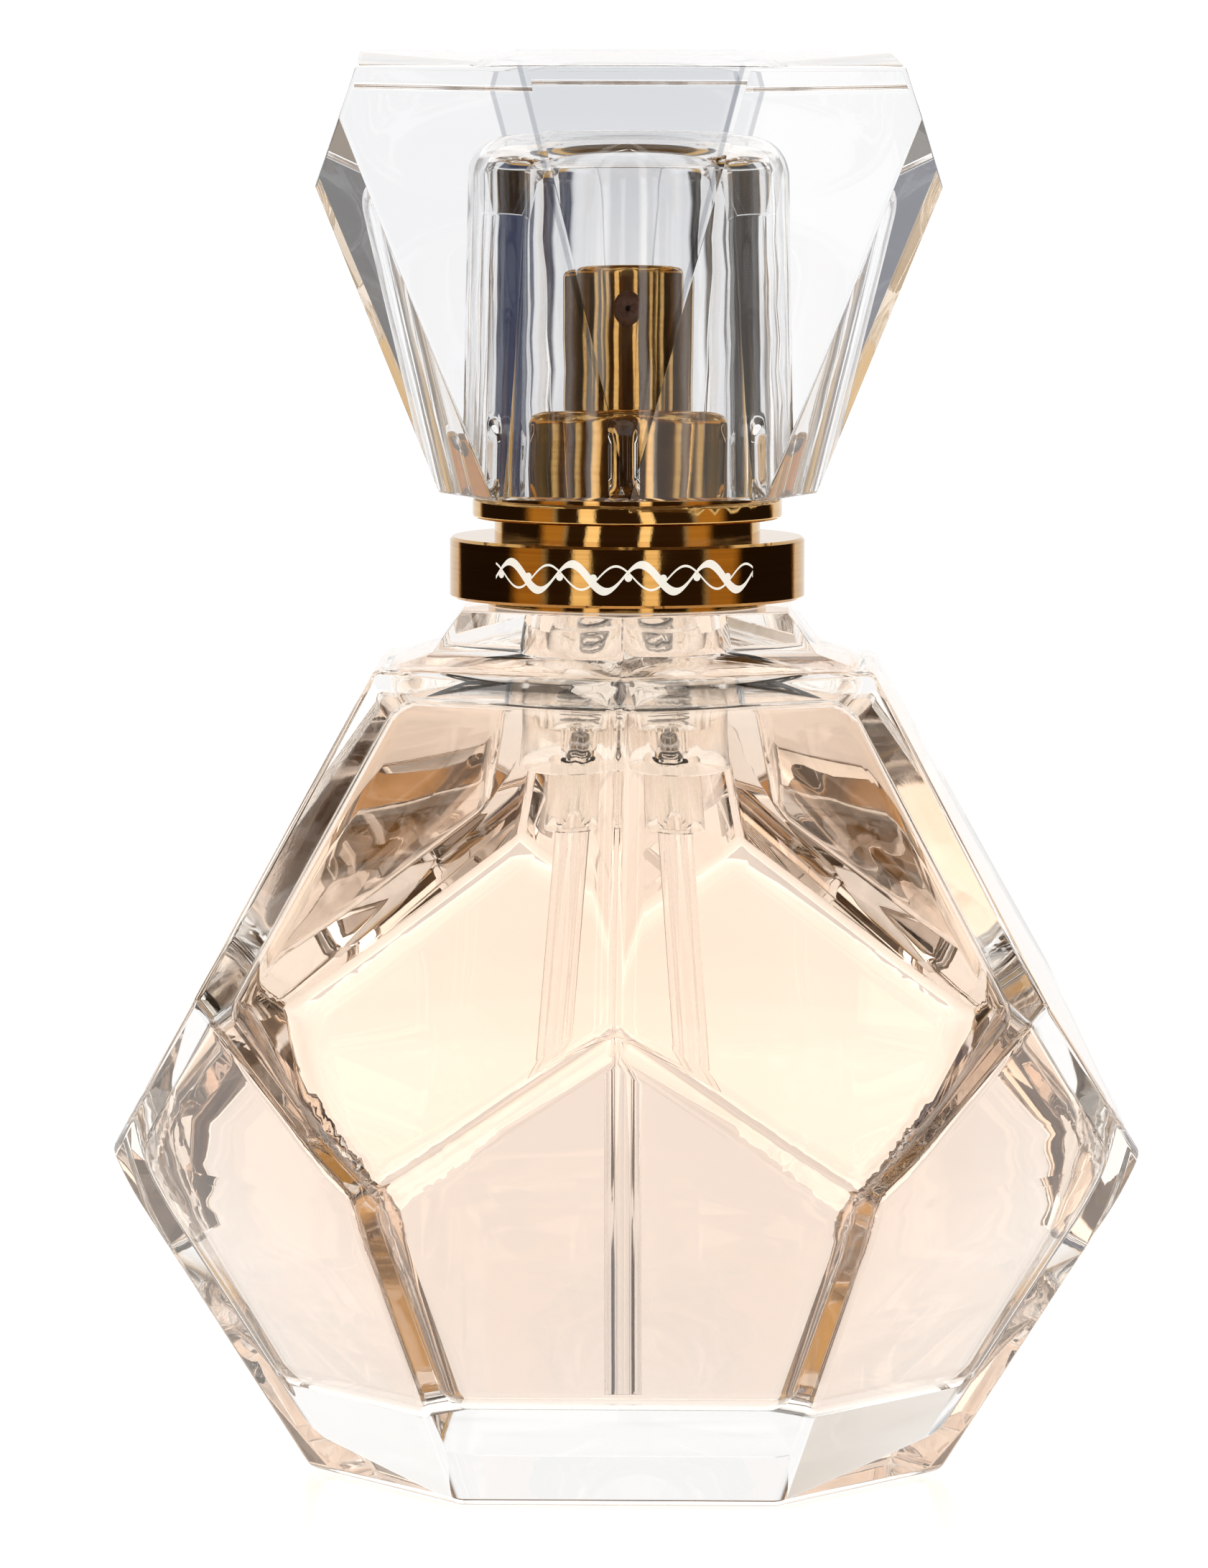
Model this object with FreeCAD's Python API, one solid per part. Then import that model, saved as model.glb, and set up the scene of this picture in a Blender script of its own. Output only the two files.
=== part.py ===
import FreeCAD, Part
import math
import os

# A faceted glass perfume bottle with a crimped spray pump and a heavy clear cap that lifts off.
# Millimetres. +Z is up, the origin is on the table under the bottle's axis, and the front is -Y.
# The bottle has six planes round its upper half and six round its lower half, turned by 30
# degrees, so that they meet in a zigzag girdle of pentagons.

Z = FreeCAD.Vector(0, 0, 1)

# --- bottle glass -------------------------------------------------------------------------
SIDES = 6
BASE_VERTEX_R = 20.3        # corners of the hexagon the bottle stands on
GIRDLE_LOW_R = 33.3         # low corners of the zigzag girdle, the bottle's widest points
GIRDLE_LOW_Z = 20.15
GIRDLE_HIGH_R = 31.05       # high corners of the zigzag girdle
GIRDLE_HIGH_Z = 31.1
SHOULDER_VERTEX_R = 18.2    # corners of the hexagon at the shoulder
SHOULDER_Z = 52.35
BELLY_BEND_R = 24.0         # radius of the bend in each lower face
OUTER_ROUND = 1.1           # rounding of the outer facet edges
PLINTH_FOOT_R = 14.1        # corners of the raised hexagon under the neck
PLINTH_FOOT_Z = 53.2
PLINTH_TOP_R = 12.0
PLINTH_TOP_Z = 55.8
PLINTH_ROUND = 0.3
WALL = 3.4                  # glass between an outer facet and the cavity
BASE_GLASS = 7.2            # glass under the cavity
SHOULDER_GLASS = 3.0        # glass between the cavity and the shoulder
INNER_ROUND = 2.4           # rounding of the cavity's edges
NECK_BORE_R = 4.9
BEAD_R = 7.5                # crimp bead of a 15 mm neck
BEAD_STEP = 1.0             # bead proud of the neck
BEAD_HEIGHT = 2.6
BEAD_ROUND = 0.6
LIP_Z = 62.3

# --- perfume ------------------------------------------------------------------------------
FILL_Z = 52.6               # full, the level stands in the neck's bore
FILL_GAP = 0.03             # film between the perfume and what it wets

# --- gold neck ring -----------------------------------------------------------------------
RING_SEAT_GAP = 0.05        # above the plinth
RING_FOOT_R = 8.9
RING_FOOT_HEIGHT = 0.45
RING_PROUD = 2.85           # band proud of the cover
RING_HEIGHT = 3.9
RING_EDGE = 0.18
RING_GAP = 0.1              # round the neck and round the ferrule

# --- crimped ferrule, gasket and cover ----------------------------------------------------
GASKET_HEIGHT = 0.8
GASKET_MARGIN = 0.2         # inside the bead's radius
FERRULE_WALL = 0.4
FERRULE_GAP = 0.1           # round the bead
CRIMP_DROP = 0.3            # crimp lip below the bead
CRIMP_HEIGHT = 0.5
CRIMP_GAP = 0.3             # between the crimp lip and the neck
FERRULE_HOLE_GAP = 0.1
COVER_WALL = 0.4
COVER_GAP = 0.1             # round the ferrule
COVER_HEIGHT = 9.0
COVER_TOP_WALL = 0.5
COVER_CORNER = 0.9
COVER_LIP_HEIGHT = 1.0      # turned-down lip round the button's opening
COVER_LIP_WALL = 0.35
BUTTON_GAP = 0.4            # between the button and the cover's opening
BRIM_REACH = 1.4            # brim proud of the cover
BRIM_DROP = 1.2             # brim above the ring
BRIM_HEIGHT = 1.3
BRIM_EDGE = 0.25

# --- pump ---------------------------------------------------------------------------------
FLANGE_R = 7.2
FLANGE_HEIGHT = 0.8
BARREL_R = 4.0
CHAMBER_R = 2.75
TAIL_R = 2.0
TAIL_LENGTH = 4.4
TURRET_FLANGE_R = 6.4
TURRET_FLANGE_HEIGHT = 0.7
TURRET_NECK_R = 4.0
TURRET_NECK_HEIGHT = 1.5
TURRET_SKIRT_R = 3.2
TURRET_SKIRT_GAP = 0.05
TURRET_SKIRT_LENGTH = 4.0
SEAL_R = 2.6
SEAL_HEIGHT = 1.0
STEM_R = 1.6
STEM_BORE_R = 0.55
STEM_GAP = 0.05             # running fit of the stem
STEM_RISE = 6.3             # stem above the turret
COLLAR_R = 2.4              # stem collar under the turret, the upper stop
COLLAR_HEIGHT = 1.0
COLLAR_STOP_GAP = 0.1
SPINDLE_R = 1.35            # thin lower part of the stem, inside the piston
FOOT_R = 1.95
FOOT_HEIGHT = 0.6
PORT_R = 0.3
PISTON_GAP = 0.05           # running fit on the spindle and in the chamber
PISTON_LIP = 0.6
PISTON_HUB_R = 2.2
PISTON_HEIGHT = 3.0
PISTON_FOOT_GAP = 0.05
VALVE_SPRING_HEIGHT = 1.3
VALVE_FOLDS = 3
VALVE_FOLD_WALL = 0.22
RETURN_SPRING_HEIGHT = 8.1
RETURN_WIRE_R = 0.22
RETURN_TURNS = 6.0
SPRING_END_GAP = 0.05
BALL_R = 1.0
BALL_SEAT_R = 0.7
BALL_SEAT_GAP = 0.02
BALL_LIFT = 0.7
BALL_SIDE_GAP = 0.3
BALL_CAGE_R = 0.8           # ledge that holds the ball down
BALL_CAGE_GAP = 0.05
BALL_CAGE_HEIGHT = 0.45
SEAT_PLATE = 0.4
TUBE_R = 1.18
TUBE_WALL = 0.38
TUBE_FIT = 0.02
TUBE_FLOOR_GAP = 1.4        # above the cavity's floor
PRESS_STROKE = 3.5

# --- spray button -------------------------------------------------------------------------
BUTTON_R = 5.1
BUTTON_HEIGHT = 9.8
BUTTON_WALL = 0.4
BUTTON_TOP_WALL = 0.4
BUTTON_CORNER = 0.5
BUTTON_STOP_GAP = 0.3       # above the ferrule when pressed home
CORE_GAP = 0.03
SOCKET_DEPTH = 2.2
SOCKET_FIT = 0.02
CHANNEL_R = 0.5
NOZZLE_R = 1.1
NOZZLE_FIT = 0.03
NOZZLE_DEPTH = 1.9
NOZZLE_DROP = 2.8           # nozzle's centre below the button's top
NOZZLE_PROUD = 0.05
ORIFICE_R = 0.2

# --- cap ----------------------------------------------------------------------------------
CAP_SEAT_GAP = 0.45         # above the brim
CAP_HEIGHT = 27.65
CAP_GIRDLE_HEIGHT = 19.65   # ridge on each side, above the cap's bottom
CAP_TOP_X = 17.2            # half widths at the top, the ridge and the bottom
CAP_RIDGE_X = 19.9
CAP_BOTTOM_X = 12.0
V_TOP_X = 7.0               # half width of the narrow facet at the top
V_TOP_Y = 17.35             # its depth at the top, and at the bottom where it ends in a point
V_BOTTOM_Y = 12.8
CORNER_TOP_Y = 15.8         # depth of the cap's top corners
BEVEL_TOP_X = 18.3          # where each corner bevel starts, and how far below the cap's top
BEVEL_TOP_DROP = 3.2
BEVEL_LOW_X = 8.7           # its two corners at the cap's bottom
BEVEL_LOW_Y = 4.0
V_TURN = 0.66               # degrees that the narrow facets are ground off square
CAP_ROUND = 0.35
CAP_TURN = 1.9              # degrees that the loose cap sits turned on the bottle
CAP_BORE_ROOM = 0.8         # round the cover at the bore's ceiling
CAP_BORE_DRAFT = 0.7        # more at its mouth
CAP_BORE_DEPTH = 23.85
CAP_BORE_ROUND = 2.6        # rounding where the bore meets its ceiling
SLEEVE_WALL = 0.6
SLEEVE_FIT = 0.02
RIB_COUNT = 6
RIB_WIDTH = 1.2
RIB_HEIGHT = 4.5
RIB_RAISE = 0.6             # ribs above the cap's bottom
RIB_GAP = 0.05              # running fit of the ribs on the cover

# --- places worked out from the sizes above ------------------------------------------------
NECK_R = BEAD_R - BEAD_STEP
FERRULE_R = BEAD_R + FERRULE_GAP + FERRULE_WALL
COVER_R = FERRULE_R + COVER_GAP + COVER_WALL
RING_R = COVER_R + RING_PROUD
BRIM_R = COVER_R + BRIM_REACH
CAP_BORE_TOP_R = COVER_R + CAP_BORE_ROOM
CAP_BORE_BOTTOM_R = CAP_BORE_TOP_R + CAP_BORE_DRAFT
APOTHEM = math.cos(math.pi / SIDES)
STEP = 360.0 / SIDES
UPPER_FACES = [STEP * (k + 0.5) for k in range(SIDES // 2)]
LOWER_FACES = [STEP * k for k in range(SIDES // 2)]
CAVITY_TOP_Z = SHOULDER_Z - SHOULDER_GLASS
RING_Z = PLINTH_TOP_Z + RING_SEAT_GAP
RING_BAND_Z = RING_Z + RING_FOOT_HEIGHT
RING_TOP_Z = RING_BAND_Z + RING_HEIGHT
BEAD_Z = LIP_Z - BEAD_HEIGHT
CRIMP_TOP_Z = BEAD_Z - CRIMP_DROP
CRIMP_Z = CRIMP_TOP_Z - CRIMP_HEIGHT
FLANGE_Z = LIP_Z + GASKET_HEIGHT
TURRET_Z = FLANGE_Z + FLANGE_HEIGHT
FERRULE_TOP_Z = TURRET_Z + TURRET_FLANGE_HEIGHT + FERRULE_WALL
TURRET_TOP_Z = TURRET_Z + TURRET_FLANGE_HEIGHT + TURRET_NECK_HEIGHT
TURRET_BOTTOM_Z = TURRET_Z - TURRET_SKIRT_LENGTH
COVER_TOP_Z = RING_TOP_Z + COVER_HEIGHT
BRIM_Z = RING_TOP_Z + BRIM_DROP
BRIM_TOP_Z = BRIM_Z + BRIM_HEIGHT
STEM_TOP_Z = TURRET_TOP_Z + STEM_RISE
COLLAR_TOP_Z = TURRET_BOTTOM_Z - COLLAR_STOP_GAP
COLLAR_Z = COLLAR_TOP_Z - COLLAR_HEIGHT
PISTON_TOP_Z = COLLAR_Z - VALVE_SPRING_HEIGHT
PISTON_Z = PISTON_TOP_Z - PISTON_HEIGHT
FOOT_TOP_Z = PISTON_Z - PISTON_FOOT_GAP
FOOT_Z = FOOT_TOP_Z - FOOT_HEIGHT
SPRING_SEAT_Z = FOOT_Z - RETURN_SPRING_HEIGHT
CAGE_Z = SPRING_SEAT_Z - BALL_CAGE_HEIGHT
CAGE_REACH = math.sqrt(BALL_R ** 2 - BALL_CAGE_R ** 2)
SEAT_REACH = math.sqrt(BALL_R ** 2 - BALL_SEAT_R ** 2)
BALL_Z = CAGE_Z - BALL_CAGE_GAP - CAGE_REACH - BALL_LIFT
SEAT_Z = BALL_Z - BALL_SEAT_GAP - SEAT_REACH
TUBE_TOP_Z = SEAT_Z - SEAT_PLATE
BARREL_Z = TUBE_TOP_Z
TAIL_Z = BARREL_Z - TAIL_LENGTH
TUBE_Z = BASE_GLASS + TUBE_FLOOR_GAP
BUTTON_Z = FERRULE_TOP_Z + BUTTON_STOP_GAP + PRESS_STROKE
BUTTON_TOP_Z = BUTTON_Z + BUTTON_HEIGHT
COVER_HOLE_R = BUTTON_R + BUTTON_GAP
CORE_R = BUTTON_R - BUTTON_WALL - CORE_GAP
SOCKET_Z = STEM_TOP_Z - SOCKET_DEPTH
NOZZLE_Z = BUTTON_TOP_Z - NOZZLE_DROP
CAP_Z = BRIM_TOP_Z + CAP_SEAT_GAP
CAP_TOP_Z = CAP_Z + CAP_HEIGHT
CAP_RIDGE_Z = CAP_Z + CAP_GIRDLE_HEIGHT
BORE_CEILING_Z = CAP_Z + CAP_BORE_DEPTH
FAR = 200.0                 # larger than the whole object


def disc(radius, z_low, z_high):
    """A solid cylinder on the Z axis."""
    return Part.makeCylinder(radius, z_high - z_low, FreeCAD.Vector(0, 0, z_low))


def tube(outer, inner, z_low, z_high):
    """A ring or tube on the Z axis."""
    return disc(outer, z_low, z_high).cut(disc(inner, z_low - 1, z_high + 1))


def taper(r_low, r_high, z_low, z_high):
    """A solid cone frustum on the Z axis."""
    return Part.makeCone(r_low, r_high, z_high - z_low, FreeCAD.Vector(0, 0, z_low))


def turned(profile):
    """A solid turned round the Z axis from a closed outline of (radius, z) points."""
    points = [FreeCAD.Vector(r, 0, z) for r, z in profile]
    face = Part.Face(Part.makePolygon(points + points[:1]))
    return face.revolve(FreeCAD.Vector(0, 0, 0), Z, 360)


def helix_spring(coil_r, wire_r, z_low, z_high, turns):
    """A round-wire spring between two heights."""
    rise = z_high - z_low - 2 * wire_r
    path = Part.makeHelix(rise / turns, rise, coil_r)
    path.translate(FreeCAD.Vector(0, 0, z_low + wire_r))
    start = FreeCAD.Vector(coil_r, 0, z_low + wire_r)
    pitch_angle = math.atan2(rise / turns, 2 * math.pi * coil_r)
    along = FreeCAD.Vector(0, math.cos(pitch_angle), math.sin(pitch_angle))
    section = Part.Wire(Part.Circle(start, along, wire_r).toShape())
    return Part.Wire(path.Edges).makePipeShell([section], True, True)


def prism_through_axis(edges, azimuth):
    """Two mirrored faces at once: the half outline in (radius, z), closed over the axis,
    is extruded along the tangent of the given azimuth. Azimuth 0 faces the front."""
    wire = Part.Wire(edges)
    slab = Part.Face(wire).extrude(FreeCAD.Vector(2 * FAR, 0, 0))
    slab.translate(FreeCAD.Vector(-FAR, 0, 0))
    return slab.rotate(FreeCAD.Vector(0, 0, 0), Z, azimuth)


def line(a, b):
    """An edge in the plane across a face: a and b are (radius, z)."""
    return Part.makeLine(FreeCAD.Vector(0, a[0], a[1]), FreeCAD.Vector(0, b[0], b[1]))


def upper_slab(azimuth, inset, z_low, z_high):
    """The upper pair of facets, moved in by the inset."""
    r_top = SHOULDER_VERTEX_R * APOTHEM
    slope = (GIRDLE_LOW_R - r_top) / (SHOULDER_Z - GIRDLE_LOW_Z)
    shift = inset * math.hypot(1, slope)
    r_high = r_top + slope * (SHOULDER_Z - z_high) - shift
    r_low = r_top + slope * (SHOULDER_Z - z_low) - shift
    corners = [(-r_low, z_low), (r_low, z_low), (r_high, z_high), (-r_high, z_high)]
    edges = [line(a, b) for a, b in zip(corners, corners[1:] + corners[:1])]
    return prism_through_axis(edges, azimuth)


def belly_bend(inset):
    """The bend of a lower facet: its centre and radius, and the two heights where it runs
    tangent into the straight stretches below and above."""
    r_foot = BASE_VERTEX_R * APOTHEM
    r_knee = GIRDLE_LOW_R * APOTHEM
    low = math.atan2(r_knee - r_foot, GIRDLE_LOW_Z)
    high = math.atan2(GIRDLE_HIGH_R - r_knee, GIRDLE_HIGH_Z - GIRDLE_LOW_Z)
    half = (low - high) / 2
    reach = BELLY_BEND_R * math.tan(half)
    start = (r_knee - reach * math.sin(low), GIRDLE_LOW_Z - reach * math.cos(low))
    centre = (start[0] - BELLY_BEND_R * math.cos(low), start[1] + BELLY_BEND_R * math.sin(low))
    return centre, BELLY_BEND_R - inset, low, high


def lower_slab(azimuth, inset, z_low, z_high):
    """The lower pair of facets, moved in by the inset."""
    centre, radius, low, high = belly_bend(inset)

    def on_bend(angle):
        return (centre[0] + radius * math.cos(angle), centre[1] - radius * math.sin(angle))

    start, middle, end = on_bend(low), on_bend((low + high) / 2), on_bend(high)
    foot = (start[0] - (start[1] - z_low) * math.tan(low), z_low)
    top = (end[0] + (z_high - end[1]) * math.tan(high), z_high)

    def arc(side):
        points = [FreeCAD.Vector(0, side * p[0], p[1]) for p in (start, middle, end)]
        return Part.Arc(*points).toShape()

    def mirrored(p):
        return (-p[0], p[1])

    edges = [
        line(mirrored(foot), foot), line(foot, start), arc(1), line(end, top),
        line(top, mirrored(top)), line(mirrored(top), mirrored(end)), arc(-1),
        line(mirrored(start), mirrored(foot)),
    ]
    return prism_through_axis(edges, azimuth)


def faceted_block(inset, z_low, z_high):
    """The twelve-faceted block, its faces moved in by the inset, between two heights."""
    block = disc(FAR / 2, z_low, z_high)
    for azimuth in UPPER_FACES:
        block = block.common(upper_slab(azimuth, inset, z_low, z_high))
    for azimuth in LOWER_FACES:
        block = block.common(lower_slab(azimuth, inset, z_low, z_high))
    return block.removeSplitter()


def rounded(solid, radius, keep=lambda edge: True):
    """The solid with its sharp edges rounded, except those that keep() turns down.
    Edges where two faces run smoothly into each other stay as they are."""
    sharp = []
    for edge in solid.Edges:
        faces = solid.ancestorsOfType(edge, Part.Face)
        if len(faces) == 2 and keep(edge) and not smooth(edge, faces):
            sharp.append(edge)
    return solid.makeFillet(radius, sharp)


def smooth(edge, faces):
    """Whether two faces share one tangent plane at the middle of their edge."""
    spot = edge.valueAt((edge.FirstParameter + edge.LastParameter) / 2)
    normals = []
    for face in faces:
        u, v = face.Surface.parameter(spot)
        normals.append(face.normalAt(u, v))
    return abs(normals[0].dot(normals[1])) > 0.999


def hexagon(vertex_r, z):
    """A hexagon wire with a corner at the front."""
    points = []
    for k in range(SIDES + 1):
        angle = math.radians(STEP * k - 90)
        points.append(FreeCAD.Vector(vertex_r * math.cos(angle), vertex_r * math.sin(angle), z))
    return Part.makePolygon(points)


def plinth():
    """The raised hexagon between the shoulder and the neck ring."""
    foot = Part.makeLoft([hexagon(SHOULDER_VERTEX_R - OUTER_ROUND, SHOULDER_Z),
                          hexagon(PLINTH_FOOT_R, PLINTH_FOOT_Z)], True, True)
    block = Part.makeLoft([hexagon(PLINTH_FOOT_R, PLINTH_FOOT_Z),
                           hexagon(PLINTH_TOP_R, PLINTH_TOP_Z)], True, True)
    block = rounded(block, PLINTH_ROUND, lambda edge: edge.CenterOfMass.z > PLINTH_FOOT_Z + 0.1)
    return foot.fuse(block)


def cavity():
    """The hollow of the bottle, up to the neck's bore."""
    hollow = faceted_block(WALL, BASE_GLASS, CAVITY_TOP_Z)
    return rounded(hollow, INNER_ROUND)


def bottle_glass():
    body = rounded(faceted_block(0, 0, SHOULDER_Z), OUTER_ROUND)
    bead = disc(BEAD_R, BEAD_Z, LIP_Z)
    bead = rounded(bead, BEAD_ROUND, lambda edge: len(edge.Vertexes) == 1)
    glass = body.fuse([plinth(), disc(NECK_R, PLINTH_TOP_Z - 1, LIP_Z - BEAD_ROUND), bead])
    glass = glass.cut(cavity())
    return glass.cut(disc(NECK_BORE_R, CAVITY_TOP_Z - 1, LIP_Z + 1)).removeSplitter()


def perfume_fill():
    hollow = rounded(faceted_block(WALL + FILL_GAP, BASE_GLASS + FILL_GAP, CAVITY_TOP_Z), INNER_ROUND)
    fill = hollow.fuse(disc(NECK_BORE_R - FILL_GAP, CAVITY_TOP_Z - INNER_ROUND, FILL_Z))
    fill = fill.cut(disc(BARREL_R + FILL_GAP, BARREL_Z - FILL_GAP, FILL_Z + 1))
    fill = fill.cut(disc(TAIL_R + FILL_GAP, TAIL_Z - FILL_GAP, FILL_Z + 1))
    return fill.cut(disc(TUBE_R + FILL_GAP, TUBE_Z - FILL_GAP, FILL_Z + 1))


def neck_ring():
    inner_low = NECK_R + RING_GAP
    inner_high = FERRULE_R + RING_GAP
    step_z = CRIMP_Z - RING_GAP
    return turned([
        (inner_low, RING_Z), (RING_FOOT_R, RING_Z), (RING_FOOT_R, RING_BAND_Z),
        (RING_R - RING_EDGE, RING_BAND_Z), (RING_R, RING_BAND_Z + RING_EDGE),
        (RING_R, RING_TOP_Z - RING_EDGE), (RING_R - RING_EDGE, RING_TOP_Z),
        (inner_high, RING_TOP_Z), (inner_high, step_z), (inner_low, step_z),
    ])


def neck_gasket():
    return tube(BEAD_R - GASKET_MARGIN, BARREL_R + 2 * RING_GAP, LIP_Z, FLANGE_Z)


def mounting_ferrule():
    cup = disc(FERRULE_R, CRIMP_Z, FERRULE_TOP_Z)
    cup = rounded(cup, FERRULE_WALL, lambda edge: edge.CenterOfMass.z > CRIMP_TOP_Z)
    cup = cup.cut(disc(FERRULE_R - FERRULE_WALL, CRIMP_TOP_Z, FERRULE_TOP_Z - FERRULE_WALL))
    cup = cup.cut(disc(NECK_R + CRIMP_GAP, CRIMP_Z - 1, CRIMP_TOP_Z + 1))
    return cup.cut(disc(TURRET_NECK_R + FERRULE_HOLE_GAP, CRIMP_Z, FERRULE_TOP_Z + 1))


def ferrule_cover():
    inner = COVER_R - COVER_WALL
    shell = disc(COVER_R, RING_TOP_Z, COVER_TOP_Z)
    shell = rounded(shell, COVER_CORNER, lambda edge: edge.CenterOfMass.z > COVER_TOP_Z - 0.1)
    brim = disc(BRIM_R, BRIM_Z, BRIM_TOP_Z)
    brim = rounded(brim, BRIM_EDGE, lambda edge: len(edge.Vertexes) == 1)
    hollow = disc(inner, RING_TOP_Z - 1, COVER_TOP_Z - COVER_TOP_WALL)
    hollow = rounded(hollow, COVER_CORNER - COVER_WALL,
                     lambda edge: edge.CenterOfMass.z > COVER_TOP_Z - 1)
    lip = disc(COVER_HOLE_R + COVER_LIP_WALL, COVER_TOP_Z - COVER_LIP_HEIGHT,
               COVER_TOP_Z - COVER_TOP_WALL)
    cover = shell.fuse(brim).cut(hollow).fuse(lip)
    return cover.cut(disc(COVER_HOLE_R, RING_TOP_Z, COVER_TOP_Z + 1)).removeSplitter()


def pump_housing():
    tail_bore = TUBE_R + TUBE_FIT
    skirt_bore = TURRET_SKIRT_R + TURRET_SKIRT_GAP
    ball_bore = BALL_R + BALL_SIDE_GAP
    return turned([
        (tail_bore, TAIL_Z), (TAIL_R, TAIL_Z), (TAIL_R, BARREL_Z), (BARREL_R, BARREL_Z),
        (BARREL_R, FLANGE_Z), (FLANGE_R, FLANGE_Z), (FLANGE_R, TURRET_Z),
        (skirt_bore, TURRET_Z), (skirt_bore, TURRET_BOTTOM_Z - TURRET_SKIRT_GAP),
        (CHAMBER_R, TURRET_BOTTOM_Z - TURRET_SKIRT_GAP), (CHAMBER_R, SPRING_SEAT_Z),
        (BALL_CAGE_R, SPRING_SEAT_Z), (BALL_CAGE_R, CAGE_Z), (ball_bore, CAGE_Z),
        (ball_bore, SEAT_Z), (BALL_SEAT_R, SEAT_Z), (BALL_SEAT_R, TUBE_TOP_Z),
        (tail_bore, TUBE_TOP_Z),
    ])


def turret():
    bore = STEM_R + STEM_GAP
    seal_bore = SEAL_R + STEM_GAP
    seal_top = TURRET_BOTTOM_Z + SEAL_HEIGHT
    return turned([
        (seal_bore, TURRET_BOTTOM_Z), (TURRET_SKIRT_R, TURRET_BOTTOM_Z), (TURRET_SKIRT_R, TURRET_Z),
        (TURRET_FLANGE_R, TURRET_Z), (TURRET_FLANGE_R, TURRET_Z + TURRET_FLANGE_HEIGHT),
        (TURRET_NECK_R, TURRET_Z + TURRET_FLANGE_HEIGHT), (TURRET_NECK_R, TURRET_TOP_Z),
        (bore, TURRET_TOP_Z), (bore, seal_top), (seal_bore, seal_top),
    ])


def stem_seal():
    return tube(SEAL_R, STEM_R + STEM_GAP, TURRET_BOTTOM_Z, TURRET_BOTTOM_Z + SEAL_HEIGHT)


def stem():
    post = disc(STEM_R, COLLAR_Z, STEM_TOP_Z)
    post = post.fuse([disc(COLLAR_R, COLLAR_Z, COLLAR_TOP_Z), disc(SPINDLE_R, FOOT_Z, COLLAR_TOP_Z),
                      disc(FOOT_R, FOOT_Z, FOOT_TOP_Z)])
    port_z = PISTON_Z + PISTON_HEIGHT / 3
    post = post.cut(disc(STEM_BORE_R, port_z - 2 * PORT_R, STEM_TOP_Z + 1))
    port = Part.makeCylinder(PORT_R, 4 * STEM_R, FreeCAD.Vector(-2 * STEM_R, 0, port_z),
                             FreeCAD.Vector(1, 0, 0))
    return post.cut(port).removeSplitter()


def piston():
    """A waisted sleeve: its two lips run in the chamber and its hub runs on the spindle."""
    lip_r = CHAMBER_R - PISTON_GAP
    bore = SPINDLE_R + PISTON_GAP
    return turned([
        (bore, PISTON_Z), (lip_r, PISTON_Z), (lip_r, PISTON_Z + PISTON_LIP),
        (PISTON_HUB_R, PISTON_Z + PISTON_LIP), (PISTON_HUB_R, PISTON_TOP_Z - PISTON_LIP),
        (lip_r, PISTON_TOP_Z - PISTON_LIP), (lip_r, PISTON_TOP_Z), (bore, PISTON_TOP_Z),
    ])


def valve_spring():
    """A small plastic bellows round the spindle, between the piston and the collar."""
    low_z, high_z = PISTON_TOP_Z + SPRING_END_GAP, COLLAR_Z - SPRING_END_GAP
    near = SPINDLE_R + PISTON_GAP + VALVE_FOLD_WALL / 2
    far = COLLAR_R - VALVE_FOLD_WALL / 2
    steps = 2 * VALVE_FOLDS
    outer, inner = [], []
    for k in range(steps + 1):
        z = low_z + (high_z - low_z) * k / steps
        r = far if k % 2 else near
        outer.append((r + VALVE_FOLD_WALL / 2, z))
        inner.append((r - VALVE_FOLD_WALL / 2, z))
    return turned(outer + inner[::-1])


def return_spring():
    coil_r = (BALL_CAGE_R + CHAMBER_R) / 2
    return helix_spring(coil_r, RETURN_WIRE_R, SPRING_SEAT_Z + SPRING_END_GAP,
                        FOOT_Z - SPRING_END_GAP, RETURN_TURNS)


def check_ball():
    return Part.makeSphere(BALL_R, FreeCAD.Vector(0, 0, BALL_Z))


def dip_tube():
    """A clear tube, cut aslant at the foot so that it can't seal on the floor."""
    pipe = tube(TUBE_R, TUBE_R - TUBE_WALL, TUBE_Z, TUBE_TOP_Z)
    wedge = Part.makeBox(4 * TUBE_R, 4 * TUBE_R, 4 * TUBE_R, FreeCAD.Vector(-2 * TUBE_R, 0, 0))
    wedge.rotate(FreeCAD.Vector(0, 0, 0), FreeCAD.Vector(1, 0, 0), -45)
    wedge.translate(FreeCAD.Vector(0, 0, TUBE_Z - TUBE_R))
    return pipe.cut(wedge)


def nozzle_bore(radius, depth):
    """A cylinder into the front of the button at the nozzle's height."""
    mouth = FreeCAD.Vector(0, -BUTTON_R - 1, NOZZLE_Z)
    return Part.makeCylinder(radius, depth + 1, mouth, FreeCAD.Vector(0, 1, 0))


def actuator_shell():
    shell = disc(BUTTON_R, BUTTON_Z, BUTTON_TOP_Z)
    shell = rounded(shell, BUTTON_CORNER, lambda edge: edge.CenterOfMass.z > BUTTON_TOP_Z - 0.1)
    shell = shell.cut(disc(BUTTON_R - BUTTON_WALL, BUTTON_Z - 1, BUTTON_TOP_Z - BUTTON_TOP_WALL))
    front = nozzle_bore(NOZZLE_R + NOZZLE_FIT, BUTTON_R)
    return shell.cut(front)


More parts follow.
